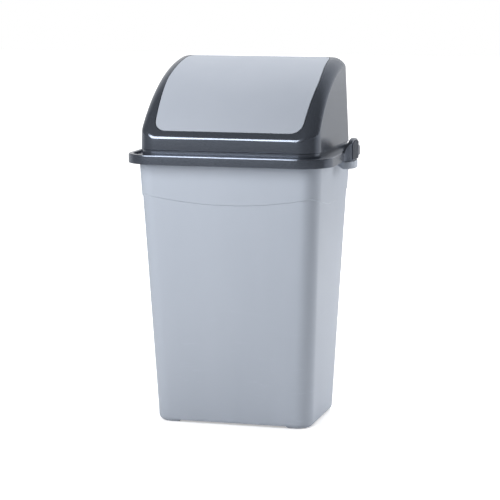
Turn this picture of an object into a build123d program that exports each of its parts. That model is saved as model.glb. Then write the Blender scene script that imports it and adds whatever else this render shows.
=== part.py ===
from build123d import *
import os

# A free-standing kitchen bin with a swing lid, in three mouldings: the bin body, the lid with its
# tall hood, and the curved flap that swings in the hood on two moulded stub axles.
# Millimetres. +X is to the right, the front faces -Y, +Z is up. The origin is the middle of the
# footprint, on the floor.

# Bin body
body_wall = 2.4
body_floor = 3.0
body_base_size = (294.0, 206.0)
body_top_size = (338.0, 282.0)
body_corner_radius = 31.0
body_flange_z = 492.0
body_edge_radius = 10.0

# Corner feet under the body
foot_height = 4.5
foot_ring = 22.0
foot_inner_radius = 14.0
foot_run_x = 44.0
foot_run_y = 40.0

# Collar round the upper body, whose lower edge sags between the corners
collar_proud = 1.6
collar_corner_z = 431.0
collar_front_sag = 19.0
collar_side_sag = 23.0

# Rolled rim of the body and the carrying handles under it
flange_thickness = 2.5
flange_lip_drop = 5.5
handle_span = 406.0
handle_length = 72.0
handle_centre_y = 22.0
handle_top_z = 483.5
handle_depth = 15.0
handle_radius = 14.0

# Lid: skirt over the rim, bead, deck, and the lip that locates it in the mouth of the body
rim_size = (380.0, 331.0)
rim_radius = 55.0
rim_wall = 2.5
rim_bottom_z = 485.0
bead_top_z = 502.0
bead_width = 9.0
bead_edge_radius = 2.2
lid_clearance = 0.6
lip_clearance = 1.2
lid_seat_gap = 0.3
lip_drop = 10.0

# Ribbed grips on the lid above the handles
grip_length = 66.0
grip_top_z = 525.0
grip_base_x = 186.0
grip_top_x = 193.5
grip_corner_radius = 11.0
grip_wall = 2.4
grip_rib_count = 7
grip_rib_width = 3.2
grip_rib_proud = 1.5

# Hood
hood_wall = 2.5
hood_half_width = 167.0
hood_front_y = -142.0
hood_front_spare = 12.0
hood_rear_y = 141.0
hood_rear_lean = 13.0
hood_front_corner = 35.0
hood_side_round = 24.0
hood_rear_round = 30.0
hood_top_z = 668.0
hood_crease_z = 532.4
dome_radius = 343.0
dome_spare = 1.7
neck_top_z = 508.5
neck_inset = 2.2
neck_overlap = 3.0

# Swing flap and its bearings in the hood
pivot_y = -24.0
pivot_depth = 10.93
flap_half_width = 144.0
flap_end_half_width = 138.5
flap_reach = 133.0
flap_corner_radius = 22.0
flap_thickness = 2.4
flap_gap = 1.0
flap_flange_depth = 12.0
flap_flange_thickness = 2.4
flap_flange_foot_z = 566.0
stub_radius = 4.0
stub_clearance = 0.08
shoulder_radius = 6.5
bearing_gap = 0.3
ear_thickness = 4.0
ear_radius = 9.5
stub_end_play = 1.0

# Ledge at the rear of the opening, on which the closed flap rests
ledge_half_width = 118.0
ledge_thickness = 2.5
ledge_reach = 9.0
gusset_count = 3
gusset_pitch = 96.0
gusset_drop = 16.0

far = 1000.0
deck_z = body_flange_z + flange_thickness + lid_seat_gap
deck_top_z = deck_z + rim_wall

# The arch passes through the crease at the hood's front and crests just above the rounded rear edge
dome_centre_z = hood_top_z + dome_spare - dome_radius
dome_centre_y = hood_front_y + (dome_radius**2 - (hood_crease_z - dome_centre_z) ** 2) ** 0.5
pivot_z = dome_centre_z + (dome_radius**2 - (dome_centre_y - pivot_y) ** 2) ** 0.5 - pivot_depth


def prism(size, radius, bottom, top):
    """An upright prism with rounded corners, centred on the Z axis."""
    return Pos(0, 0, bottom) * extrude(RectangleRounded(*size, radius), top - bottom)


def grown(size, amount):
    """A width and depth, both moved outwards by an amount at every side."""
    return (size[0] + 2 * amount, size[1] + 2 * amount)


def frustum(low_size, low_z, high_size, high_z):
    """A four-sided tapered block, as its front view pushed through its side view."""
    views = []
    for plane, low, high in zip((Plane.XZ, Plane.YZ), low_size, high_size):
        outline = Polyline((-low / 2, low_z), (low / 2, low_z), (high / 2, high_z), (-high / 2, high_z),
                           close=True)
        views.append(extrude(plane * make_face(outline), far, both=True))
    return views[0] & views[1]


def body_prism(amount, bottom, top):
    """The tapered body moved outwards by an amount, between two heights."""
    sizes = []
    for z in (bottom, top):
        share = z / body_flange_z
        size = [low + (high - low) * share for low, high in zip(body_base_size, body_top_size)]
        sizes.append(grown(size, amount))
    block = frustum(sizes[0], bottom, sizes[1], top)
    upright = [edge for edge in block.edges() if abs(edge.position_at(0).Z - edge.position_at(1).Z) > 1]
    return fillet(upright, body_corner_radius + amount)


def above_sag(plane, half_span, sag):
    """All that lies above an arc which sags between two corners, cut through along one axis."""
    left, right = (-half_span, collar_corner_z), (half_span, collar_corner_z)
    arc = ThreePointArc(left, (0, collar_corner_z - sag), right)
    rest = Polyline(right, (half_span, far), (-half_span, far), left)
    return extrude(plane * make_face([arc, rest]), far, both=True)


def make_body():
    body = body_prism(0, 0, body_flange_z)
    body = fillet(body.faces().sort_by(Axis.Z)[0].edges(), body_edge_radius)
    span_x = body_top_size[0] / 2 + collar_proud
    span_y = body_top_size[1] / 2 + collar_proud
    above = above_sag(Plane.XZ, span_x, collar_front_sag) + above_sag(Plane.YZ, span_y, collar_side_sag)
    body += body_prism(collar_proud, collar_corner_z - 2 * collar_front_sag, body_flange_z) & above

    # Flange with a lip turned down, and a hollow carrying handle at each side
    flange_size = grown(rim_size, -(rim_wall + lid_clearance))
    flange_radius = rim_radius - rim_wall - lid_clearance
    lip_z = body_flange_z - flange_lip_drop
    flange = prism(flange_size, flange_radius, lip_z, body_flange_z + flange_thickness)
    flange -= prism(grown(flange_size, -body_wall), flange_radius - body_wall, lip_z, body_flange_z)
    handle_bottom = handle_top_z - handle_depth
    handle_size = (handle_span, handle_length)
    handle = prism(handle_size, handle_radius, handle_bottom, handle_top_z)
    handle -= prism(grown(handle_size, -body_wall), handle_radius - body_wall,
                    handle_bottom, handle_top_z - body_wall)
    handle = Pos(0, handle_centre_y, 0) * handle
    body += [flange, handle]

    # Inside of the body, then the space under its floor between the four feet
    body -= body_prism(-body_wall, foot_height + body_floor, body_flange_z + flange_thickness)
    middle = Pos(0, 0, foot_height / 2)
    under = middle * Box(body_base_size[0] - 2 * foot_run_x, far, foot_height)
    under += middle * Box(far, body_base_size[1] - 2 * foot_run_y, foot_height)
    under += prism(grown(body_base_size, -foot_ring), foot_inner_radius, 0, foot_height)
    return body - under


def hood_profile(inset, base):
    """The hood seen from its side: upright front, arched top, rounded rear edge, leaning rear."""
    front_y = hood_front_y - hood_front_spare
    start = (front_y, dome_centre_z + (dome_radius**2 - (dome_centre_y - front_y) ** 2) ** 0.5)
    lean = hood_rear_lean / (hood_top_z - deck_top_z)
    rear_low = (hood_rear_y - lean * (base - deck_top_z), base)
    top_z = dome_centre_z + dome_radius
    rear_high = (hood_rear_y - lean * (top_z - deck_top_z), top_z)
    past_y = dome_centre_y + dome_radius / 2
    past = (past_y, dome_centre_z + dome_radius * 0.75**0.5)
    arch = ThreePointArc(start, (dome_centre_y, top_z), past)
    outline = make_face([arch, Polyline(past, (past_y, base), (front_y, base), start)])
    outline -= make_face(Polyline(rear_low, rear_high, (far, top_z), (far, base), close=True))
    corner = outline.vertices().sort_by(Axis.Y)[-1]
    outline = fillet(corner, hood_rear_round)
    return offset(outline, -inset, kind=Kind.INTERSECTION) if inset else outline


def hood_solid(inset, base=deck_z):
    """The whole hood as a solid, drawn in by an inset all round."""
    half = hood_half_width - inset
    arched = extrude(Plane.YZ * hood_profile(inset, base - inset), half, both=True)
    front = Pos(0, hood_front_y + inset, base) * Box(
        2 * half, far, hood_top_z + hood_rear_round - base, align=(Align.CENTER, Align.MIN, Align.MIN))

    def side_edges(solid):
        return [edge for edge in solid.edges() if abs(edge.center().X) > hood_half_width / 2]

    def is_low_or_ahead(edge):
        return edge.center().Z < base + 0.1 or edge.center().Y < hood_front_y

    arched = fillet([edge for edge in side_edges(arched) if not is_low_or_ahead(edge)],
                    hood_side_round - inset)
    upright = ShapeList(side_edges(front)).group_by(Axis.Y)[0]
    return arched & fillet(upright, hood_front_corner - inset)


def hood_skin(outer_inset, inner_inset, base=deck_z):
    """The layer of the hood between two insets, open below."""
    return hood_solid(outer_inset, base) - hood_solid(inner_inset, base - far / 100)


def barrel(amount):
    """The space that the flap's outline sweeps about its pivot axis, grown by an amount.

    Every edge of a panel cut by it turns at a constant radius, so it never meets the frame."""
    end = (flap_end_half_width + amount, flap_reach + amount)
    half = make_face(Polyline((0, 0), (flap_half_width + amount, 0), end, (0, end[1]), close=True))
    tip = half.vertices().sort_by_distance((*end, 0))[0]
    half = fillet(tip, flap_corner_radius + amount)
    full = half + mirror(half, Plane.YZ)
    return Pos(0, pivot_y, pivot_z) * revolve(full, Axis.X)


def across(radius, start, end):
    """A round bar on the pivot axis, from one distance out to another, at both sides."""
    bar = Pos(start, pivot_y, pivot_z) * Rot(0, 90, 0) * Cylinder(
        radius, end - start, align=(Align.CENTER, Align.CENTER, Align.MIN))
    return bar + mirror(bar, Plane.YZ)


def side_slabs(start, end):
    """Two upright slabs, one at each side, from one distance out to another."""
    slab = Pos((start + end) / 2, 0, 0) * Box(end - start, far, 2 * far)
    return slab + mirror(slab, Plane.YZ)


ear_start = flap_half_width + 2 * flap_gap + bearing_gap
ear_end = ear_start + ear_thickness


def make_flap():
    outline = barrel(0)
    flap = hood_skin(0, flap_thickness) & outline

    # Flange turned down along the sides and the rear edge, which weighs the flap shut
    flange_start = flap_half_width - flap_flange_thickness
    core = barrel(-flap_flange_thickness)
    above_foot = Pos(0, 0, flap_flange_foot_z) * Box(
        far, far, far, align=(Align.CENTER, Align.CENTER, Align.MIN))
    deep = hood_skin(flap_thickness / 2, flap_thickness + flap_flange_depth)
    flap += deep & above_foot & (outline - core)

    # Round pad, shoulder and stub axle at each side
    flange_middle = flap_half_width - flap_flange_thickness / 2
    flap += across(ear_radius, flange_start - flap_gap, flap_half_width) & hood_solid(flap_thickness / 2)
    flap += across(shoulder_radius, flange_middle, ear_start - bearing_gap)
    return flap + across(stub_radius, flange_middle, ear_end + stub_end_play)


def make_grip():
    """A ribbed grip at the right side: hollow below, wedge-shaped, with upright ribs outside."""
    outer_x = handle_span / 2 - grip_rib_proud

    def wedge(inset):
        low = rim_bottom_z - inset
        points = [(grip_base_x + inset, low), (outer_x - inset, low),
                  (outer_x - inset, grip_top_z - inset), (grip_top_x + inset, grip_top_z - inset),
                  (grip_base_x + inset, bead_top_z - inset)]
        solid = extrude(Plane.XZ * make_face(Polyline(*points, close=True)),
                        grip_length / 2 - inset, both=True)
        tops = solid.edges().filter_by(Axis.X).group_by(Axis.Z)[-1]
        return fillet(tops, grip_corner_radius - inset)

    grip = wedge(0)
    pitch = (grip_length - 2 * grip_corner_radius) / (grip_rib_count - 1)
    rib_height = grip_top_z - rim_bottom_z - grip_corner_radius
    rib = Pos(outer_x, 0, rim_bottom_z + rib_height / 2) * Box(
        2 * grip_rib_proud, grip_rib_width, rib_height)
    grip += [Pos(0, pitch * (i - (grip_rib_count - 1) / 2), 0) * rib for i in range(grip_rib_count)]
    return [Pos(0, handle_centre_y, 0) * solid for solid in (grip, wedge(grip_wall))]


def make_lid():
    inner_size, inner_radius = grown(rim_size, -rim_wall), rim_radius - rim_wall
    core_size, core_radius = grown(rim_size, -bead_width), rim_radius - bead_width
    mouth_size = grown(body_top_size, -(body_wall + lip_clearance))
    mouth_radius = body_corner_radius - body_wall - lip_clearance

    # Skirt, bead and deck
    lid = prism(rim_size, rim_radius, rim_bottom_z, bead_top_z)
    lid = fillet(lid.faces().sort_by(Axis.Z)[-1].edges(), bead_edge_radius)
    lid -= prism(core_size, core_radius, deck_top_z, bead_top_z)
    grip, grip_hollow = make_grip()
    lid += [grip, mirror(grip, Plane.YZ)]
    lid -= [grip_hollow, mirror(grip_hollow, Plane.YZ)]
    lid -= prism(inner_size, inner_radius, rim_bottom_z, deck_z)
    channel = prism(inner_size, inner_radius, deck_z, bead_top_z - rim_wall)
    channel -= prism(grown(core_size, rim_wall), core_radius + rim_wall, deck_z, bead_top_z - rim_wall)
    lid -= channel
    lid += prism(mouth_size, mouth_radius, deck_z - lip_drop, deck_top_z)

    # Hood on a slightly narrower neck, open below
    outer = hood_solid(0, neck_top_z)
    neck_height = Box(far, far, neck_top_z + neck_overlap, align=(Align.CENTER, Align.CENTER, Align.MIN))
    lid += hood_solid(neck_inset, deck_top_z - rim_wall / 2) & neck_height
    lid += outer
    lid -= hood_solid(hood_wall, neck_top_z + neck_overlap) + (
        hood_solid(neck_inset + hood_wall, deck_z - far / 10) & neck_height)
    lid -= prism(grown(mouth_size, -rim_wall), mouth_radius - rim_wall, deck_z - lip_drop, deck_top_z)

    # Opening for the flap, the bearing ears beside it, and the ledge behind it
    opening = barrel(flap_gap)
    lid -= opening & hood_skin(-flap_gap, 2 * hood_wall)
    ear_block = Pos(0, pivot_y, pivot_z) * Box(far, 2 * ear_radius, far, align=(
        Align.CENTER, Align.CENTER, Align.MIN))
    ears = (ear_block & side_slabs(ear_start, ear_end)) + across(ear_radius, ear_start, ear_end)
    ears -= across(stub_radius + stub_clearance, ear_start, ear_end)
    lid += ears & hood_solid(hood_wall / 2)
    rear_edge_y = pivot_y + (flap_reach**2 - (hood_top_z - pivot_z) ** 2) ** 0.5
    flange_inner_radius = dome_radius - flap_thickness - flap_flange_depth
    flange_reach_y = dome_centre_y - rear_edge_y + flap_flange_thickness
    flange_bottom_z = dome_centre_z + (flange_inner_radius**2 - flange_reach_y**2) ** 0.5
    ledge_top = Pos(0, rear_edge_y - ledge_reach, flange_bottom_z)
    ledge = ledge_top * Box(2 * ledge_half_width, far, ledge_thickness, align=(
        Align.CENTER, Align.MIN, Align.MAX))
    rear_wall_y = hood_rear_y - hood_rear_lean
    web_start = rear_edge_y - ledge_reach
    web = make_face(Polyline((web_start, 0), (rear_wall_y, -gusset_drop), (rear_wall_y + ledge_reach, 0),
                             close=True))
    web = extrude(Plane.YZ * web, hood_wall / 2, both=True)
    for i in range(gusset_count):
        x = gusset_pitch * (i - (gusset_count - 1) / 2)
        ledge += Pos(x, 0, flange_bottom_z - ledge_thickness) * web
    ledge &= hood_solid(hood_wall / 2)
    flange_space = hood_skin(0, flap_thickness + flap_flange_depth + bearing_gap) & opening
    return lid + (ledge - flange_space)


os.makedirs("parts", exist_ok=True)
export_step(make_body(), "parts/bin_body.step")
export_step(make_lid(), "parts/lid_hood.step")
export_step(make_flap(), "parts/swing_flap.step")
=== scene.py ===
# %% The frame
import math
import bmesh
import bpy
from mathutils import Matrix, Vector


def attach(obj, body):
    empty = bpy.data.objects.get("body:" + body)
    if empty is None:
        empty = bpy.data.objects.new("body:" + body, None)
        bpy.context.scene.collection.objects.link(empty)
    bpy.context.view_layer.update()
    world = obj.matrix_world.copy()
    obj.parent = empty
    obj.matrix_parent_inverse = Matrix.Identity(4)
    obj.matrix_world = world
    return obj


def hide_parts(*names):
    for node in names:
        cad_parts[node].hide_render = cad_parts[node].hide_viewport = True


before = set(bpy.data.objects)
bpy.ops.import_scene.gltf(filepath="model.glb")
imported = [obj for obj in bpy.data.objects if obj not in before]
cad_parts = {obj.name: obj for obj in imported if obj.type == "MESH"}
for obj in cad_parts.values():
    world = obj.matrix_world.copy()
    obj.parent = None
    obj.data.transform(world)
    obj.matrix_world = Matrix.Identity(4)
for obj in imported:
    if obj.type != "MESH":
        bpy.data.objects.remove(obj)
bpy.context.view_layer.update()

mm = 0.001

# %% [markdown]
# The bin is three mouldings: a bucket, a lid with a tall hood, and a flap that swings in the hood.
# All of them go round a rounded rectangle, so one idea makes them: a loop of points that is
# extruded from level to level. Each point carries a number, its station, which says how far round
# the loop it is. A station from 0 to 8 runs over the front, a corner, the right side, a corner, the
# rear, a corner, the left side and the last corner.

# %% Outlines that a station can be placed on
def blend(a, b, share):
    """The value that lies a share of the way from a to b."""
    return a + (b - a) * share


class Outline:
    """A rounded rectangle: half width, front, rear, and the radii of front and rear corners."""

    def __init__(self, half_width, front, rear, front_radius, rear_radius=None):
        self.half_width, self.front, self.rear = half_width, front, rear
        self.front_radius = front_radius
        self.rear_radius = front_radius if rear_radius is None else rear_radius

    def inset(self, amount):
        """The outline drawn in all round."""
        return Outline(self.half_width - amount, self.front + amount, self.rear - amount,
                       max(self.front_radius - amount, 0.5), max(self.rear_radius - amount, 0.5))

    def at(self, station):
        """The point in plan at a station. The left half is the right half seen in a mirror."""
        station %= 8
        if station > 4.5:
            x, y = self.at(9 - station)
            return -x, y
        part, share = int(station), station % 1
        near, far = self.front_radius, self.rear_radius
        if part == 0:
            return blend(-1, 1, share) * (self.half_width - near), self.front
        if part == 1:
            turn = math.radians(90 * share)
            return (self.half_width - near + near * math.sin(turn),
                    self.front + near - near * math.cos(turn))
        if part == 2:
            return self.half_width, blend(self.front + near, self.rear - far, share)
        if part == 3:
            turn = math.radians(90 * share)
            return (self.half_width - far + far * math.cos(turn),
                    self.rear - far + far * math.sin(turn))
        return blend(1, -1, share) * (self.half_width - far), self.rear


def even_outline(width, depth, radius):
    """A rounded rectangle about the origin, with the same radius at all four corners."""
    return Outline(width / 2, -depth / 2, depth / 2, radius)


print("rim corner:", even_outline(380, 331, 55).at(1.5))

# %% A loop, and the step that takes it to its next level
straight_steps, corner_steps = 16, 10
foot_end, foot_slope = 0.056, 0.004


def start_loop(bm):
    """A closed loop of edges whose points carry their stations, closer where a foot ends."""
    corner = [i / corner_steps for i in range(corner_steps)]
    foot = [foot_end - foot_slope, foot_end + foot_slope]
    straight = sorted({0.0, *foot, *(1 - share for share in foot),
                       *(i / straight_steps for i in range(2, straight_steps - 1))})
    stations = [part + share for part in range(8) for share in (corner if part % 2 else straight)]
    layer = bm.verts.layers.float.new("station")
    made = bmesh.ops.create_circle(bm, segments=len(stations), radius=1.0)
    for vert, station in zip(made["verts"], stations):
        vert[layer] = station
    return list(dict.fromkeys(edge for vert in made["verts"] for edge in vert.link_edges))


def points_of(edges):
    """The points at the ends of some edges, each once and always in the same order."""
    return dict.fromkeys(vert for edge in edges for vert in edge.verts)


def put(bm, edges, where):
    """Moves a loop to where(station), which gives x, y and z in millimetres."""
    layer = bm.verts.layers.float["station"]
    for vert in points_of(edges):
        vert.co = Vector(where(vert[layer])) * mm
    return edges


def step(bm, edges, where):
    """Extrudes a loop and moves the new one to where(station)."""
    made = bmesh.ops.extrude_edge_only(bm, edges=edges)["geom"]
    return put(bm, [g for g in made if isinstance(g, bmesh.types.BMEdge)], where)


def level(outline, z):
    """A place at one height on an outline."""
    return lambda station: (*outline.at(station), z)


def close_with_face(bm, edges):
    """Fills a loop with one flat face."""
    bmesh.ops.contextual_create(bm, geom=edges)


# %% Turning a bmesh into a finished piece
def soften(bm, edges, radius, steps):
    """Rounds edges to a radius in millimetres."""
    bmesh.ops.bevel(bm, geom=edges, offset=radius * mm, segments=steps, profile=0.5,
                    affect="EDGES", material=-1, offset_type="OFFSET")


def face_outwards(bm):
    """Points all faces away from the middle of the object, judged by the rightmost face."""
    bmesh.ops.recalc_face_normals(bm, faces=bm.faces)
    rightmost = max(bm.faces, key=lambda face: face.calc_center_median().x)
    if rightmost.normal.x < 0:
        bmesh.ops.reverse_faces(bm, faces=bm.faces)


def finish_piece(bm, name, body, wall=0, edge=0.8, steps=3):
    """Makes an object of a bmesh, with its wall thickness, softened edges and even shading."""
    mesh = bpy.data.meshes.new(name)
    for face in bm.faces:
        face.smooth = True
    bm.to_mesh(mesh)
    bm.free()
    piece = bpy.data.objects.new(name, mesh)
    bpy.context.scene.collection.objects.link(piece)
    if wall:
        shell = piece.modifiers.new("wall", "SOLIDIFY")
        shell.thickness, shell.offset, shell.use_even_offset = wall * mm, -1, True
    soft = piece.modifiers.new("soft_edges", "BEVEL")
    soft.width, soft.segments, soft.limit_method = edge * mm, steps, "ANGLE"
    soft.angle_limit = math.radians(28)
    piece.modifiers.new("even_shading", "WEIGHTED_NORMAL").keep_sharp = False
    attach(piece, body)
    print(name, "faces:", len(mesh.polygons))
    return piece


# %% [markdown]
# The bucket is a thin tapered wall. It could be a cube with bevelled corners, but its rim, its
# collar and its base all follow the same rounded outline, so the loop is stepped up from the floor
# to the rim, as the tool in a mould would be cut. The collar is a step in the wall whose height
# sags between the corners, so there the height comes from the place of each point.

# %% Sizes of the bucket
bucket_height, corner_radius = 492.0, 31.0
base_size, top_size = (294.0, 206.0), (338.0, 282.0)
collar_proud, collar_z, front_sag, side_sag = 1.6, 431.0, 19.0, 23.0
collar_below, collar_above = 1.1, 0.9
foot_height, foot_ring, wall_start = 4.5, 22.0, 18.0
bucket_wall = 2.4


def bucket_outline(z, amount=0.0):
    """The bucket's outside at a height, grown by an amount."""
    share = z / bucket_height
    width, depth = (blend(low, high, share) + 2 * amount for low, high in zip(base_size, top_size))
    return even_outline(width, depth, corner_radius + amount)


def collar_line(x, y):
    """The height of the collar's lower edge over a point of the plan."""
    span_x, span_y = top_size[0] / 2 + collar_proud, top_size[1] / 2 + collar_proud
    return collar_z - max(front_sag * (1 - (x / span_x) ** 2), side_sag * (1 - (y / span_y) ** 2))


def collar_place(rise, amount):
    """A place just under or over the collar's edge."""
    def where(station):
        x, y = bucket_outline(collar_z, amount).at(station)
        z = collar_line(x, y) + rise
        return (*bucket_outline(z, amount).at(station), z)
    return where


print("collar at the front:", collar_line(0, -140), "at a side:", collar_line(168, 0))

# %% The underside, with a foot in each corner
base_round, base_turns = 10.0, (0, 18, 36, 57, 74, 90)


def under(inset, z):
    """A place under the bucket: as low as z in the corners, and on the raised floor elsewhere."""
    def where(station):
        x, y = bucket_outline(z).inset(inset).at(station)
        on_foot = int(station) % 2 or min(station % 1, 1 - station % 1) < foot_end
        return x, y, z if on_foot else max(z, foot_height)
    return where


def base_arc(turn):
    """Inset and height at an angle of the round between the underside and the wall."""
    turn = math.radians(turn)
    return base_round * (1 - math.sin(turn)), base_round * (1 - math.cos(turn))


# %% The bucket's wall, from its floor to its rolled rim
bm = bmesh.new()
loop = put(bm, start_loop(bm), under(foot_ring, foot_height))
close_with_face(bm, loop)
for inset, z in ((foot_ring - 1, 0.0), *(base_arc(turn) for turn in base_turns)):
    loop = step(bm, loop, under(inset, z))
loop = step(bm, loop, level(bucket_outline(wall_start), wall_start))
loop = step(bm, loop, collar_place(-collar_below, 0.0))
loop = step(bm, loop, collar_place(collar_above, collar_proud))
flange = even_outline(373.8, 324.8, 51.9)
flange_low, flange_top, lip_low = bucket_height, 494.5, 486.5
for outline, z in ((bucket_outline(flange_low, collar_proud), flange_low),
                   (flange.inset(bucket_wall), flange_low), (flange.inset(bucket_wall), lip_low),
                   (flange, lip_low), (flange, flange_top),
                   (bucket_outline(flange_top).inset(bucket_wall), flange_top)):
    loop = step(bm, loop, level(outline, z))

# %% Down the inside to the floor
inside_floor, inside_round = 7.5, 6.0
for degrees in (90, 60, 30, 0):
    turn = math.radians(degrees)
    z = inside_floor + inside_round * (1 - math.sin(math.pi / 2 - turn))
    inset = bucket_wall + inside_round * (1 - math.sin(turn))
    loop = step(bm, loop, level(bucket_outline(z).inset(inset), z))
close_with_face(bm, loop)
print("bucket faces:", len(bm.faces))
face_outwards(bm)
bin_shell = finish_piece(bm, "bin_shell", "bin", edge=0.7)
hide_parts("bin_body")

# %% [markdown]
# Under the rim at each side is a hollow handle, moulded with the bucket. A cube, rounded at its
# outer corners and hollowed from below, is the whole form. Its end walls get lower towards the
# bucket, which leaves room for the fingers.

# %% The carrying handles
handle_y, handle_length, handle_top, handle_depth = 22.0, 72.0, 483.5, 14.0
handle_reach, handle_root, handle_radius, handle_steps = 203.0, 166.0, 27.0, 12
slope_start, slope_end, slope_rise = 172.0, 186.0, 10.5


def block(bm, low, high):
    """A cube between two corners in millimetres."""
    low, high = Vector(low), Vector(high)
    matrix = Matrix.Translation((low + high) / 2 * mm) @ Matrix.Diagonal((*((high - low) * mm), 1))
    return bmesh.ops.create_cube(bm, size=1.0, matrix=matrix)["verts"]


def upright_edges(bm, beyond_x):
    """The upright edges of a block that lie beyond a distance from the middle."""
    return [edge for edge in bm.edges
            if abs(edge.verts[0].co.z - edge.verts[1].co.z) > 2 * mm
            and min(vert.co.x for vert in edge.verts) > beyond_x * mm]


def both_sides(bm):
    """Adds the mirrored copy at the left."""
    bmesh.ops.mirror(bm, geom=bm.verts[:] + bm.edges[:] + bm.faces[:], axis="X", merge_dist=-1)
    bmesh.ops.recalc_face_normals(bm, faces=bm.faces)


bm = bmesh.new()
block(bm, (handle_root, handle_y - handle_length / 2, handle_top - handle_depth),
      (handle_reach, handle_y + handle_length / 2, handle_top))
soften(bm, upright_edges(bm, handle_reach - 1), handle_radius, handle_steps)
underside = [face for face in bm.faces if face.normal.z < -0.9]
bmesh.ops.inset_region(bm, faces=underside, thickness=bucket_wall * mm)
ceiling = [face for face in bm.faces if face.normal.z < -0.9 and len(face.verts) > 4]
bmesh.ops.translate(bm, verts=list({vert for face in ceiling for vert in face.verts}),
                    vec=(0, 0, (handle_depth - bucket_wall) * mm))
for vert in bm.verts:
    if vert.co.z < (handle_top - handle_depth + 1) * mm:
        share = (slope_end - vert.co.x / mm) / (slope_end - slope_start)
        vert.co.z += slope_rise * min(max(share, 0.0), 1.0) * mm
both_sides(bm)
bin_handles = finish_piece(bm, "bin_handles", "bin", edge=0.9)

# %% [markdown]
# The hood is the skilful part. Seen from the side it is one large arc, a rounded rear edge and a
# rear wall that leans a little, as its side walls do. Its side edges have a round of their own, so
# every point of its top is the side view drawn in by an amount that depends on how near the side
# is. One function of the plan gives that height, and both the hood and the flap use it, so the
# flap lies flush.

# %% The hood's surface as a height over its plan
arch_radius, arch_y, arch_z = 343.0, 132.475, 326.7
side_round, rear_round = 24.0, 30.0
hood_half_width, hood_front, hood_rear = 167.5, -142.0, 141.0
hood_front_radius, hood_low, hood_top = 35.0, 497.3, 668.0
side_lean, rear_lean, side_arc = 4.5, 15.0, 27.0


def half_width_at(z):
    """Half the hood's width at a height."""
    return hood_half_width - side_lean * (z - hood_low) / (hood_top - hood_low)


def rear_at(z):
    """The depth of the hood's rear wall at a height."""
    return hood_rear - rear_lean * (z - hood_low) / (hood_top - hood_low)


# The rear round touches both the arch and the leaning wall, so its middle is found step by step.
tilt = math.hypot(1, rear_lean / (hood_top - hood_low))
round_z = hood_top - rear_round
for _ in range(8):
    round_y = rear_at(round_z) - rear_round * tilt
    round_z = arch_z + math.sqrt((arch_radius - rear_round) ** 2 - (arch_y - round_y) ** 2)


def arch_height(y, drawn_in=0.0):
    """The side view's height at a depth, drawn in by an amount along its own normal."""
    small = rear_round - drawn_in
    meeting = round_y + small * (round_y - arch_y) / (arch_radius - rear_round)
    if y <= meeting:
        return arch_z + math.sqrt((arch_radius - drawn_in) ** 2 - (arch_y - y) ** 2)
    return round_z + math.sqrt(max(small**2 - (y - round_y) ** 2, 0.0))


def hood_height(x, y):
    """The height of the hood's outside over a point of the plan."""
    z = arch_height(y)
    for _ in range(3):
        off_side = min(max(half_width_at(z) - abs(x), 0.0), side_round)
        drawn_in = side_arc - math.sqrt(side_arc**2 - (side_round - off_side) ** 2)
        z = arch_height(y, drawn_in)
    return z


def hood_outline(z):
    """The hood's outside at a height."""
    return Outline(half_width_at(z), hood_front, rear_at(z), hood_front_radius, side_round)


def shoulder(station):
    """Where the hood's upright wall ends and its top begins."""
    z = 600.0
    for _ in range(6):
        x, y = hood_outline(z).at(station)
        z = hood_height(x, y)
    return (*hood_outline(z).at(station), z)


print("crease:", shoulder(0.5), "side:", shoulder(2.5), "rear:", shoulder(4.5))

# %% [markdown]
# The flap turns on an axis just under its middle. For no edge of it to meet the frame, each edge
# must keep its distance from that axis, so the opening is the cut of a barrel about the axis
# through the hood. In the plan that gives a half width for each distance from the axis, and the
# place at which the arch lies that far away.

# %% The outline of the flap, and of its opening one gap larger
axis_y, axis_z = -24.0, 621.0
flap_middle_half, flap_end_half, flap_reach, flap_corner = 144.0, 136.5, 133.0, 22.0
flap_gap = 1.0


def from_axis(y):
    """How far the arch lies from the axis at a depth."""
    return math.hypot(y - axis_y, arch_height(y) - axis_z)


def depth_at(distance, ahead):
    """The depth at which the arch lies a distance from the axis, ahead of it or behind it."""
    near, far = axis_y, axis_y + (-160 if ahead else 150)
    for _ in range(40):
        middle = (near + far) / 2
        if from_axis(middle) < distance:
            near = middle
        else:
            far = middle
    return near


class FlapOutline:
    """The barrel's cut, grown by an amount, with the same stations as an Outline."""

    def __init__(self, amount):
        self.reach, self.radius = flap_reach + amount, flap_corner + amount
        self.end_half = flap_end_half + amount
        self.middle_half = flap_middle_half + amount
        self.tip = self.reach - self.radius
        self.ends = [depth_at(self.tip, True), depth_at(self.tip, False)]

    def half_at(self, distance):
        """Half the width at a distance from the axis."""
        return blend(self.middle_half, self.end_half, distance / self.reach)

    def corner(self, share, ahead):
        """A point of a rounded corner: share 0 is at the side and 1 is at the end."""
        turn = math.radians(90 * share)
        distance = self.tip + self.radius * math.sin(turn)
        half = self.half_at(self.tip) - self.radius * (1 - math.cos(turn))
        return half, depth_at(distance, ahead)

    def at(self, station):
        station %= 8
        if station > 4.5:
            x, y = self.at(9 - station)
            return -x, y
        part, share = int(station), station % 1
        if part == 1:
            return self.corner(1 - share, True)
        if part == 3:
            return self.corner(share, False)
        if part == 2:
            y = blend(*self.ends, share)
            return self.half_at(min(from_axis(y), self.tip)), y
        half, y = self.corner(1.0, part == 0)
        return blend(-half, half, share) * (1 if part == 0 else -1), y


opening, flap_outline = FlapOutline(flap_gap), FlapOutline(0.0)
print("flap front:", flap_outline.at(0.5), "rear:", flap_outline.at(4.5))

# %% [markdown]
# The lid is one sheet of plastic, folded: up the skirt, over a bead, down into a channel, along
# the deck, up the hood and over its top as far as the opening. The loop is stepped along that
# fold, and then the sheet gets its wall. The dark channel between bead and hood is real depth.

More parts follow.
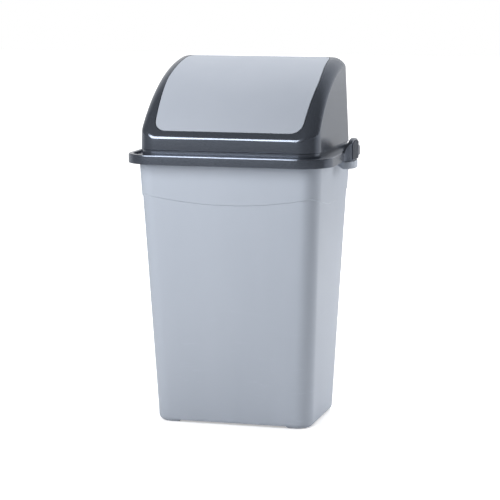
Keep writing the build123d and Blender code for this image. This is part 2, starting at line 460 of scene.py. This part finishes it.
# %% The lid's sheet, from its skirt to the flap's opening
lid_wall, rim_low, bead_top, bead_width = 2.5, 485.0, 502.0, 9.0
neck_top, neck_inset, band_round = 508.5, 2.2, 2.0
rim = even_outline(380.0, 331.0, 55.0)
bm = bmesh.new()
loop = put(bm, start_loop(bm), level(rim, rim_low))
bead = ((0.0, 499.6), (0.7, 501.3), (2.4, bead_top), (6.6, bead_top), (8.3, 501.3),
        (bead_width, 499.6), (bead_width, hood_low))
for inset, z in bead:
    loop = step(bm, loop, level(rim.inset(inset), z))
for inset, z in ((neck_inset, hood_low), (neck_inset, neck_top), (band_round, neck_top)):
    loop = step(bm, loop, level(hood_outline(z).inset(inset), z))
for degrees in (30, 60, 90):
    inset = band_round * (1 - math.sin(math.radians(degrees)))
    z = neck_top + band_round * (1 - math.cos(math.radians(degrees)))
    loop = step(bm, loop, level(hood_outline(z).inset(inset), z))
print("skirt, bead, channel and neck faces:", len(bm.faces))

# %% Up the hood's wall and in over its rounded top
crease_round, top_steps, slope_run = 6.0, 7, 0.5


def over_the_top(share):
    """A place between the hood's shoulder and the opening, on the surface with a rounded crease."""
    def where(station):
        outer, inner = shoulder(station), opening.at(station)
        run = math.dist(outer[:2], inner)

        def surface(amount):
            x, y = blend(outer[0], inner[0], amount), blend(outer[1], inner[1], amount)
            return x, y, hood_height(x, y)

        slope = math.atan((surface(slope_run / run)[2] - outer[2]) / slope_run)
        tangent = crease_round * math.tan((math.pi / 2 - slope) / 2)
        x, y, z = surface(share)
        if share * run < tangent * math.cos(slope):
            z = outer[2] - tangent + math.sqrt(crease_round**2 - (crease_round - share * run) ** 2)
        return x, y, z
    return where


for i in range(top_steps + 1):
    loop = step(bm, loop, over_the_top(1 - math.cos(math.radians(90 * i / top_steps))))
face_outwards(bm)
lid_shell = finish_piece(bm, "lid_shell", "lid", wall=lid_wall, edge=0.8)
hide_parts("lid_hood")

# %% [markdown]
# Above each handle the lid swells out of its bead into an upright grip, with ribs for the thumb. A
# block would leave hard ends, so the grip is a grid instead. Its rows run along the side, and each
# row's section rises up the outside, over the top and down the inside.

# %% The swelling of the grip out of the bead
grip_low, grip_top, grip_face, grip_lean, grip_thick = 485.0, 525.0, 201.5, 193.5, 4.5
grip_reach, grip_flat, crest_reach, grip_rows = 46.0, 19.0, 41.0, 36
rim_face, channel_z, crest_low = 189.6, 499.0, bead_top - 1
grip_crown = ((0.0, 3.0), (0.4, 1.5), (1.5, 0.4), (3.0, 0.0))


def grip_outside(off_middle):
    """How far out the grip stands at a distance along it from its middle."""
    swell = min(max((grip_reach - abs(off_middle)) / (grip_reach - grip_flat), 0.0), 1.0)
    return blend(rim_face, grip_face, swell * swell * (3 - 2 * swell))


def grip_crest(off_middle):
    """The height of the grip's top edge, which is half an ellipse along the side."""
    rise = math.sqrt(max(1 - (off_middle / crest_reach) ** 2, 0))
    return crest_low + (grip_top - crest_low) * rise


def grip_section(off_middle):
    """The points of one row, up the outside, over the crown and down to the channel."""
    outside, crest = grip_outside(off_middle), grip_crest(off_middle)
    inside = min(grip_lean, outside - grip_thick)
    return [(outside, grip_low), (outside, blend(grip_low, crest, 0.4)),
            *((outside - in_by, crest - down_by) for in_by, down_by in grip_crown),
            (inside + 1.0, crest), (inside, crest - 1.0), (inside - 3.0, channel_z)]


print("grip:", grip_section(0.0))

# %% The ribbed grips
bm = bmesh.new()
last_point = len(grip_section(0.0)) - 1
grid = bmesh.ops.create_grid(bm, x_segments=last_point, y_segments=grip_rows, size=1.0)["verts"]
for vert in grid:
    off_middle = vert.co.y * grip_reach
    x, z = grip_section(off_middle)[round((vert.co.x + 1) / 2 * last_point)]
    vert.co = Vector((x, handle_y + off_middle, z)) * mm
both_sides(bm)
face_outwards(bm)
lid_grips = finish_piece(bm, "lid_grips", "lid", wall=2.0, edge=0.4)

# %% Ribs on the grips
rib_count, rib_width, rib_spread, rib_margin = 7, 3.2, 44.0, 4.0
rib_sunk, rib_proud, rib_foot = 1.0, 1.5, 1.0
bm = bmesh.new()
for i in range(rib_count):
    off_middle = rib_spread * (i / (rib_count - 1) - 0.5)
    face, y = grip_outside(off_middle), handle_y + off_middle
    block(bm, (face - rib_sunk, y - rib_width / 2, grip_low + rib_foot),
          (face + rib_proud, y + rib_width / 2, grip_crest(off_middle) - rib_margin))
both_sides(bm)
lid_grip_ribs = finish_piece(bm, "lid_grip_ribs", "lid", edge=0.7)

# %% [markdown]
# Inside the lid are three things that show only when the flap swings: the lip that locates the
# lid in the bucket's mouth, the two ears that carry the flap's axles, and the ledge behind the
# opening on which the closed flap comes to rest.

# %% Locating lip
mouth, mouth_low, mouth_top = even_outline(330.8, 274.8, 27.4), 484.8, 496.0
bm = bmesh.new()
loop = put(bm, start_loop(bm), level(mouth, mouth_low))
loop = step(bm, loop, level(mouth, mouth_top))
face_outwards(bm)
lid_lip = finish_piece(bm, "lid_lip", "lid", wall=lid_wall, edge=0.4)

# %% Bearing ears
ear_start, ear_end, ear_radius, hole_radius = 146.3, 150.3, 9.5, 4.08
root_ahead, root_above_hole, root_top, root_cover, root_thick = 5.0, 0.6, 12, 1.3, 1.5
circle_steps, hood_cover = 40, 1.2


def disc_ring(bm, inner, outer, start, end):
    """A thick ring on the flap's axis, or a plain disc where inner is 0."""
    turn = Matrix.Translation((start * mm, axis_y * mm, axis_z * mm)) @ Matrix.Rotation(
        math.pi / 2, 4, "Y")
    outer_edge = bmesh.ops.create_circle(bm, segments=circle_steps, radius=outer * mm,
                                         matrix=turn, cap_ends=not inner)["verts"]
    if inner:
        inner_edge = bmesh.ops.create_circle(bm, segments=circle_steps, radius=inner * mm,
                                             matrix=turn)["verts"]
        edges = dict.fromkeys(edge for vert in outer_edge + inner_edge for edge in vert.link_edges)
        faces = bmesh.ops.bridge_loops(bm, edges=list(edges))["faces"]
    else:
        faces = [face for face in bm.faces if set(face.verts) == set(outer_edge)]
    pushed = bmesh.ops.extrude_face_region(bm, geom=faces, use_keep_orig=True)["geom"]
    bmesh.ops.translate(bm, verts=[g for g in pushed if isinstance(g, bmesh.types.BMVert)],
                        vec=((end - start) * mm, 0, 0))


def keep_under_hood(bm):
    """Lowers the points that would come through the hood's surface."""
    for vert in bm.verts:
        surface = hood_height(vert.co.x / mm, vert.co.y / mm)
        vert.co.z = min(vert.co.z, (surface - hood_cover) * mm)


bm = bmesh.new()
disc_ring(bm, hole_radius, ear_radius, ear_start, ear_end)
root = block(bm, (ear_start, axis_y - root_ahead, axis_z + hole_radius + root_above_hole),
             (ear_end, axis_y + ear_radius, axis_z + root_top))
for vert in root:
    top = vert.co.z > (axis_z + root_top - 2) * mm
    surface = hood_height(vert.co.x / mm, vert.co.y / mm) - root_cover
    vert.co.z = (surface if top else min(surface - root_thick, vert.co.z / mm)) * mm
both_sides(bm)
keep_under_hood(bm)

# %% The ledge and its gussets, which taper to nothing at the ledge's front
ledge_half, ledge_top, ledge_thickness, ledge_gap = 118.0, 652.4, 2.5, 8.6
ledge_front, ledge_low = flap_outline.at(4.5)[1] - 9.0, ledge_top - ledge_thickness
gusset_half, gusset_depth, gusset_sunk, gusset_gap, gusset_z = 1.25, 16, 0.5, 1.2, 640
block(bm, (-ledge_half, ledge_front, ledge_low),
      (ledge_half, rear_at(ledge_top) - ledge_gap, ledge_top))
for x in (-96.0, 0.0, 96.0):
    gusset = block(bm, (x - gusset_half, ledge_front, ledge_low - gusset_depth),
                   (x + gusset_half, rear_at(gusset_z) - gusset_gap, ledge_low + gusset_sunk))
    for vert in gusset:
        if vert.co.y < (ledge_front + 1) * mm and vert.co.z < (ledge_low - 1) * mm:
            vert.co.z = ledge_low * mm
lid_bearings = finish_piece(bm, "lid_bearings", "lid", edge=0.35, steps=2)

# %% [markdown]
# The flap is a grid laid on the hood's own surface inside its outline. A turned-down flange
# stiffens its sides and its rear edge, and its weight keeps the flap shut. Each axle is a stub
# with a shoulder that holds the flap clear of the ear.

# %% The flap's panel
columns, rows, corner_rows, flap_wall = 32, 84, 0.14, 2.4
bm = bmesh.new()
grid = bmesh.ops.create_grid(bm, x_segments=columns, y_segments=rows, size=1.0)["verts"]
for vert in grid:
    across, along = vert.co.x, vert.co.y
    if abs(along) > 1 - corner_rows:
        half, y = flap_outline.corner((abs(along) - 1 + corner_rows) / corner_rows, along < 0)
    else:
        y = blend(*flap_outline.ends, (along / (1 - corner_rows) + 1) / 2)
        half = flap_outline.half_at(min(from_axis(y), flap_outline.tip))
    x = across * half
    vert.co = Vector((x, y, hood_height(x, y))) * mm

# %% The flap's flange, turned down from its sides and rear
flange_depth, flange_foot = 11.8, 566.0
border = [edge for edge in bm.edges if edge.is_boundary
          and all(vert.co.z > flange_foot * mm for vert in edge.verts)]
turned = bmesh.ops.extrude_edge_only(bm, edges=border)["geom"]
for vert in (g for g in turned if isinstance(g, bmesh.types.BMVert)):
    inward = Vector((0, arch_y * mm - vert.co.y, arch_z * mm - vert.co.z)).normalized()
    vert.co += inward * (flange_depth + flap_wall) * mm
bmesh.ops.recalc_face_normals(bm, faces=bm.faces)
if max(bm.faces, key=lambda face: face.calc_center_median().z).normal.z < 0:
    bmesh.ops.reverse_faces(bm, faces=bm.faces)
flap_panel = finish_piece(bm, "flap_panel", "flap", wall=flap_wall, edge=0.5,
                          steps=2)
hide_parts("swing_flap")

# %% The flap's axles: a pad on the flap, the shoulder, and the stub in the ear
bm = bmesh.new()
for radius, start, end in ((6.4, 140.8, 143.9), (5.4, 143.0, 146.0), (3.6, 145.0, 151.3)):
    disc_ring(bm, 0, radius, start, end)
keep_under_hood(bm)
both_sides(bm)
flap_axles = finish_piece(bm, "flap_axles", "flap", edge=0.4, steps=2)

# %% [markdown]
# All three pieces are moulded polypropylene. Shader sums are easier to read as sums, so a small
# class wraps a socket and adds a Math node for each operator. It also makes any other node.

# %% A socket that can be reckoned with
class Sum:
    """A node's output, with the signs + - * to reckon with it."""

    def __init__(self, tree, socket):
        self.tree, self.socket = tree, socket

    def node(self, kind, settings=(), out=0, **values):
        """Adds a node, gives it its settings, then its values or links by socket name."""
        made = self.tree.nodes.new(kind)
        for name, value in dict(settings).items():
            setattr(made, name, value)
        for name, value in values.items():
            key = int(name[1:]) if name[1:].isdigit() else name.replace("_", " ")
            if isinstance(value, Sum):
                self.tree.links.new(value.socket, made.inputs[key])
            else:
                made.inputs[key].default_value = value
        return Sum(self.tree, made.outputs[out])

    def reckon(self, operation, first, second):
        return self.node("ShaderNodeMath", {"operation": operation}, _0=first, _1=second)

    def __add__(self, other):
        return self.reckon("ADD", self, other)

    def __sub__(self, other):
        return self.reckon("SUBTRACT", self, other)

    def __rsub__(self, other):
        return self.reckon("SUBTRACT", other, self)

    def __mul__(self, other):
        return self.reckon("MULTIPLY", self, other)

    __radd__, __rmul__ = __add__, __mul__

    def held(self, low, high):
        """The value brought from low..high to 0..1 and kept there."""
        return self.node("ShaderNodeMapRange", {"clamp": True}, Value=self, From_Min=low,
                         From_Max=high)


def new_material(name):
    """A material with a shader, and a Sum to build its nodes from Object coordinates."""
    material = bpy.data.materials.new(name)
    material.use_nodes = True
    tree = material.node_tree
    place = Sum(tree, tree.nodes.new("ShaderNodeTexCoord").outputs["Object"])
    return material, tree.nodes["Principled BSDF"], place


def feed(shader, **sockets):
    """Gives a shader's sockets their values or links."""
    for name, value in sockets.items():
        socket = shader.inputs[name.replace("_", " ")]
        if isinstance(value, Sum):
            value.tree.links.new(value.socket, socket)
        else:
            socket.default_value = value


# %% [markdown]
# The bucket and the flap are a satin blue grey. The mould leaves a fine spark-eroded grain and
# faint flow shading that runs up the wall, and the bucket has a few soft scuffs low down, where
# shoes and brooms touch it. Grain is bump at under a millimetre, and the rest is a small change of
# colour and roughness.

# %% Satin plastic for the bucket and the flap
def satin_plastic(name, colour, deep_colour, roughness, scuffed):
    material, shader, place = new_material(name)
    grain = place.node("ShaderNodeTexNoise", Vector=place, Scale=1500.0, Detail=3.0,
                       Roughness=0.6)
    flow_place = place.node("ShaderNodeMapping", Vector=place, Scale=(9.0, 9.0, 1.6))
    flow = place.node("ShaderNodeTexNoise", Vector=flow_place, Scale=1.0, Detail=3.0,
                      Roughness=0.5)
    height = place.node("ShaderNodeSeparateXYZ", out=2, Vector=place)
    low_down = 1.0 - height.held(0.0, 0.30)
    scuff_place = place.node("ShaderNodeMapping", Vector=place, Scale=(14.0, 14.0, 90.0))
    scuff = place.node("ShaderNodeTexNoise", Vector=scuff_place, Scale=1.0, Detail=5.0,
                       Roughness=0.7)
    scuff = scuff.held(0.60, 0.78) * low_down * scuffed
    mixed = place.node("ShaderNodeMix", {"data_type": "RGBA"}, out=2, _0=flow.held(0.32, 0.70),
                       _6=(*colour, 1), _7=(*deep_colour, 1))
    worn = place.node("ShaderNodeMix", {"data_type": "RGBA"}, out=2, _0=scuff,
                      _6=mixed, _7=(*[min(c * 1.12, 1) for c in colour], 1))
    bump = place.node("ShaderNodeBump", Strength=0.10, Distance=0.00015, Height=grain)
    feed(shader, Base_Color=worn, Normal=bump,
         Roughness=flow.held(0.3, 0.7) * 0.05 + roughness + scuff * 0.1, IOR=1.49)
    print(name, "nodes:", len(material.node_tree.nodes))
    return material


bucket_finish = satin_plastic("satin_bucket", (0.400, 0.440, 0.505), (0.380, 0.420, 0.485),
                              roughness=0.40, scuffed=1.0)
flap_finish = satin_plastic("satin_flap", (0.400, 0.436, 0.500), (0.385, 0.421, 0.485),
                            roughness=0.42, scuffed=0.0)

# %% [markdown]
# The lid is dark graphite with a metallic pigment: tiny flakes catch the light as a soft sheen, and
# the surface over them is smoother than the bucket's. The flakes are cells under half a
# millimetre, each with its own brightness. The metallic share is high, so that the lid mirrors
# the bright sheet behind it and the dim room in front.

# %% Graphite plastic with a metallic pigment for the lid
def graphite_plastic(name):
    material, shader, place = new_material(name)
    flakes = place.node("ShaderNodeTexVoronoi", out=1, Vector=place, Scale=2600.0)
    flake = place.node("ShaderNodeSeparateColor", Color=flakes)
    grain = place.node("ShaderNodeTexNoise", Vector=place, Scale=1100.0, Detail=2.0)
    cloud = place.node("ShaderNodeTexNoise", Vector=place, Scale=4.0, Detail=1.0).held(0.3, 0.7)
    colour = place.node("ShaderNodeMix", {"data_type": "RGBA"}, out=2, _0=flake,
                        _6=(0.115, 0.134, 0.172, 1), _7=(0.215, 0.240, 0.288, 1))
    bump = place.node("ShaderNodeBump", Strength=0.08, Distance=0.0001, Height=grain)
    feed(shader, Base_Color=colour, Normal=bump, Metallic=flake * 0.2 + 0.70,
         Roughness=cloud * 0.02 + 0.19, IOR=1.49)
    print(name, "nodes:", len(material.node_tree.nodes))
    return material


lid_finish = graphite_plastic("graphite_lid")
for piece in (bin_shell, bin_handles):
    piece.data.materials.append(bucket_finish)
for piece in (lid_shell, lid_grips, lid_grip_ribs, lid_lip, lid_bearings):
    piece.data.materials.append(lid_finish)
for piece in (flap_panel, flap_axles):
    piece.data.materials.append(flap_finish)

# %% [markdown]
# The bin stands on a white sheet that runs up behind it, in soft light. A large lamp at the front
# left lights the wall, a lower one at the right rear lights the side, and a high one behind lights
# the top of the flap. The lid would mirror the two at the rear as streaks, so they show in no
# reflection. The room in front of the sheet is dim, so the graphite has something dark to mirror.

# %% Floor, which the camera sees fade into the white behind
def stage_floor():
    """A large flat floor that glows towards the camera, more so the farther it is."""
    mesh = bpy.data.meshes.new("floor")
    bm = bmesh.new()
    bmesh.ops.create_grid(bm, x_segments=1, y_segments=1, size=12.0)
    bm.to_mesh(mesh)
    bm.free()
    floor = bpy.data.objects.new("floor", mesh)
    bpy.context.scene.collection.objects.link(floor)
    material, shader, place = new_material("white_sheet")
    path = place.tree.nodes.new("ShaderNodeLightPath")
    seen = Sum(place.tree, path.outputs["Is Camera Ray"])
    mirrored = Sum(place.tree, path.outputs["Is Glossy Ray"])
    far = place.node("ShaderNodeVectorMath", {"operation": "LENGTH"}, out=1, _0=place)
    behind = place.node("ShaderNodeSeparateXYZ", out=1, Vector=place).held(0.2, 2.0)
    glow = seen * (far.held(0.5, 2.4) * 0.8 + 0.45) + mirrored * behind * 0.45
    feed(shader, Base_Color=(0.84, 0.84, 0.85, 1), Roughness=0.9, Specular_IOR_Level=0.1,
         Emission_Color=(1, 1, 1, 1), Emission_Strength=glow)
    mesh.materials.append(material)


stage_floor()

# %% The white sheet behind and the dim room in front, as the world
world = bpy.data.worlds.new("studio")
bpy.context.scene.world = world
world.use_nodes = True
tree = world.node_tree
back = tree.nodes["Background"]
path = tree.nodes.new("ShaderNodeLightPath")
seen = Sum(tree, path.outputs["Is Camera Ray"])
direction = Sum(tree, tree.nodes.new("ShaderNodeTexCoord").outputs["Generated"])
behind = direction.node("ShaderNodeSeparateXYZ", out=1, Vector=direction).held(0.35, 0.95)
room = behind * 0.80 + 0.09
strength = room + seen * (1.0 - room)
tree.links.new(strength.socket, back.inputs["Strength"])
back.inputs["Color"].default_value = (1, 1, 1, 1)


# %% Lamps
lamp_target_z = 0.40


def bearing(turn, rise):
    """The direction at an angle round from the front, to the right, and an angle up."""
    return Vector((math.sin(turn) * math.cos(rise), -math.cos(turn) * math.cos(rise),
                   math.sin(rise)))


def soft_lamp(name, turn, rise, away, size, power, mirrored=True):
    """A soft lamp at a bearing and a height angle, aimed at the middle of the bin."""
    lamp = bpy.data.lights.new(name, "AREA")
    lamp.shape, lamp.size, lamp.size_y, lamp.energy = "RECTANGLE", *size, power
    holder = bpy.data.objects.new(name, lamp)
    turn, rise = math.radians(turn), math.radians(rise)
    direction = bearing(turn, rise)
    holder.location = Vector((0, 0, lamp_target_z)) + direction * away
    holder.rotation_euler = direction.to_track_quat("Z", "Y").to_euler()
    holder.visible_glossy = mirrored
    bpy.context.scene.collection.objects.link(holder)


soft_lamp("front_left", -26, 27, 1.45, (1.0, 0.9), 21)
soft_lamp("right_rear", 122, 14, 2.4, (1.2, 1.6), 36, mirrored=False)
soft_lamp("overhead", 180, 55, 2.0, (1.4, 1.2), 38, mirrored=False)

# %% [markdown]
# The camera stands where the photograph's camera stood: fifteen degrees round to the right, a
# little above the rim, and far off, so that upright lines stay nearly parallel.

# %% Camera
azimuth, elevation, distance = math.radians(15.27), math.radians(8.48), 3.8847
target = Vector((0.0067, 0.0, 0.3123))
away = bearing(azimuth, elevation)
camera = bpy.data.objects.new("camera", bpy.data.cameras.new("camera"))
camera.data.lens, camera.data.sensor_width = 150.03, 36.0
camera.location = target + away * distance
camera.rotation_euler = (-away).to_track_quat("-Z", "Y").to_euler()
bpy.context.scene.collection.objects.link(camera)
bpy.context.scene.camera = camera
bpy.context.scene.view_settings.view_transform = "Standard"
print("camera:", [round(value, 3) for value in camera.location])
